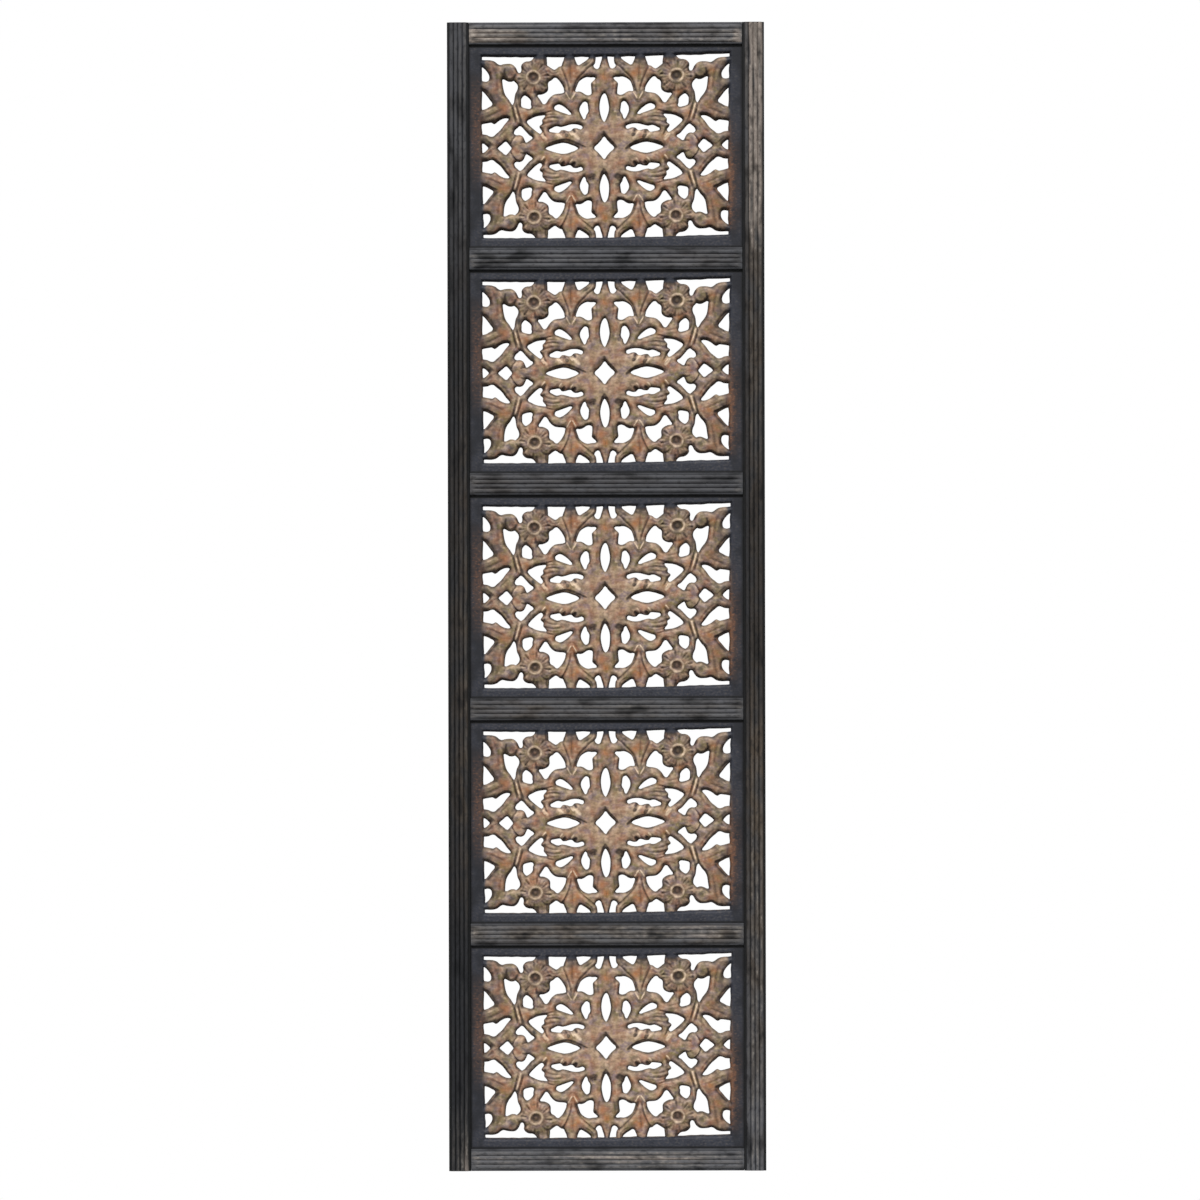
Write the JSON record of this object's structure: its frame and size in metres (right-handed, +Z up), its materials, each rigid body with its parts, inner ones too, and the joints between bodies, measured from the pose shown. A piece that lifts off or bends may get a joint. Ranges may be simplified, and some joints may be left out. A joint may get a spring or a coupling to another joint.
{
  "type": "carved wall panel",
  "caption": "Tall reeded wooden frame with pierced floral boards one above the other, made to hang flat on a wall by the back of its top rail.",
  "frame": {"origin": "centre of the flat back face of the top rail, where the panel is fixed to a wall", "axes": "+Z up along the tall side, +X to the right seen from the front, +Y from the panel to the wall; the carved front faces -Y"},
  "size_m": [0.505, 0.025, 1.829],
  "materials": {
    "frame_wood": "blackened paint rubbed back to grey-brown wood on the reeds' crests",
    "carved_wood": "warm tan limed stain on the carving, dark blue-grey paint on the flat border"
  },
  "bodies": {
    "root": {"left_stile": "frame_wood", "right_stile": "frame_wood", "top_rail": "frame_wood", "rail_1": "frame_wood", "rail_2": "frame_wood", "rail_3": "frame_wood", "rail_4": "frame_wood", "bottom_rail": "frame_wood", "carved_panel_1": "carved_wood", "carved_panel_2": "carved_wood", "carved_panel_3": "carved_wood", "carved_panel_4": "carved_wood", "carved_panel_5": "carved_wood"}
  },
  "joints": []
}
